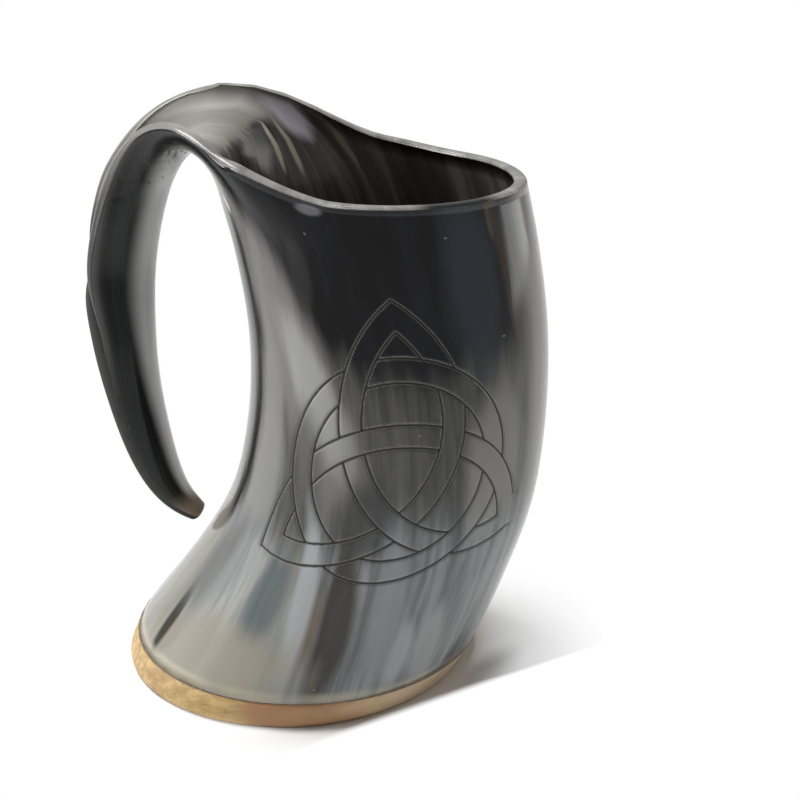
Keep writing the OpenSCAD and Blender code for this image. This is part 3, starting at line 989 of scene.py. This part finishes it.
# Floor and light: a white sheet under the cup that runs out into a white background, and soft boxes
# above and to both sides, which make the pale limbs in the polish.
scene.view_settings.view_transform = "Standard"
floor_reach = 2.0
floor_mesh = bpy.data.meshes.new("floor")
corners = [(x * floor_reach, y * floor_reach, 0) for x, y in ((-1, -1), (1, -1), (1, 1), (-1, 1))]
floor_mesh.from_pydata(corners, [], [(0, 1, 2, 3)])
floor = placed("floor", floor_mesh)
floor_finish, tree, shader = new_finish("White sheet")
for label, value in (("Base Color", (.93, .93, .93, 1)), ("Roughness", .9), ("Specular IOR Level", 0)):
    shader.inputs[label].default_value = value
place_in = tree.nodes.new("ShaderNodeTexCoord").outputs["Object"]


def measured(operation, place):
    """How far the sheet's points lie from a place, or along a direction."""
    node = tree.nodes.new("ShaderNodeVectorMath")
    node.operation = operation
    feed(tree, node.inputs[0], place_in)
    feed(tree, node.inputs[1], place)
    return node.outputs["Value"]


# The sheet glows where the camera or the polish sees it, and dims in the polish towards the front
ray = tree.nodes.new("ShaderNodeLightPath").outputs
shown = math_node(tree, "MAXIMUM", ray["Is Camera Ray"], ray["Is Glossy Ray"])
shown = math_node(tree, "MAXIMUM", shown, ray["Is Transmission Ray"])
glow = tree.nodes.new("ShaderNodeEmission")
far_glow = ranged(tree, measured("DISTANCE", (0, .45, 0)), .42, .95, 1, .35)
feed(tree, glow.inputs["Strength"], math_node(tree, "MAXIMUM", far_glow, ray["Is Camera Ray"]))
# The glow hides the cup's shadow but for a rim round the foot, which reaches further to one side
foot_middle = (.0013, 0, 0)
foot_radius = .0515
shadow_side = (.966, .259, 0)
away = measured("DISTANCE", foot_middle)
shadow_reach = ranged(tree, measured("DOT_PRODUCT", shadow_side), .024, .058, .004, .040)
faded = math_node(tree, "DIVIDE", math_node(tree, "SUBTRACT", away, foot_radius), shadow_reach)
faded = math_node(tree, "POWER", math_node(tree, "MAXIMUM", faded, 0), .6)
faded = math_node(tree, "MINIMUM", faded, 1)
# The shadow is darkest beside the foot and ends along a line to the front
along_line = measured("DOT_PRODUCT", (.73, -.683, 0))
by_line = ranged(tree, along_line, .036, .047, 0, .95)
by_foot = ranged(tree, away, .068, .055)
darker = math_node(tree, "SUBTRACT", 1, math_node(tree, "MULTIPLY", by_line, by_foot))
faded = math_node(tree, "MULTIPLY", faded, darker)
faded = math_node(tree, "MAXIMUM", faded, ranged(tree, along_line, .0512, .0550))
blend = tree.nodes.new("ShaderNodeMixShader")
for socket, value in zip(blend.inputs, (math_node(tree, "MULTIPLY", faded, shown), shader.outputs[0],
                                        glow.outputs[0])):
    feed(tree, socket, value)
feed(tree, tree.nodes["Material Output"].inputs["Surface"], blend.outputs[0])
floor_mesh.materials.append(floor_finish)

# The room: full white where the camera sees it, and dim as a light and in the polish
room_light = .2
room_in_polish = .15
world = bpy.data.worlds.new("Studio")
scene.world = world
world.use_nodes = True
tree = world.node_tree
backdrop = tree.nodes["Background"]
backdrop.inputs["Color"].default_value = (1, 1, 1, 1)
ray = tree.nodes.new("ShaderNodeLightPath").outputs
in_polish = math_node(tree, "MULTIPLY", ray["Is Glossy Ray"], room_in_polish)
direct = math_node(tree, "MAXIMUM", ray["Is Camera Ray"], ray["Is Transmission Ray"])
direct = math_node(tree, "MULTIPLY", direct, .8)
room = math_node(tree, "ADD", math_node(tree, "ADD", in_polish, direct), room_light)
feed(tree, backdrop.inputs["Strength"], room)


def soft_box(name, place, size, power, lights_floor=True, aim=(0.02, 0, 0.07)):
    """A lamp behind a white cloth, turned towards the cup."""
    data = bpy.data.lights.new(name, "AREA")
    data.shape = "RECTANGLE"
    data.size, data.size_y = size
    data.energy = power
    lamp = placed(name, data)
    lamp.location = place
    lamp.visible_diffuse = lights_floor
    lamp.rotation_euler = (Vector(place) - Vector(aim)).to_track_quat("Z", "Y").to_euler()


soft_box("key", (-0.32, 0.10, 1.0), (0.5, 0.5), 11)
soft_box("left_box", (-0.75, -0.12, 0.30), (0.5, 0.8), 3)
soft_box("right_box", (0.70, 0.42, 0.30), (0.5, 0.8), 3.4, lights_floor=False)
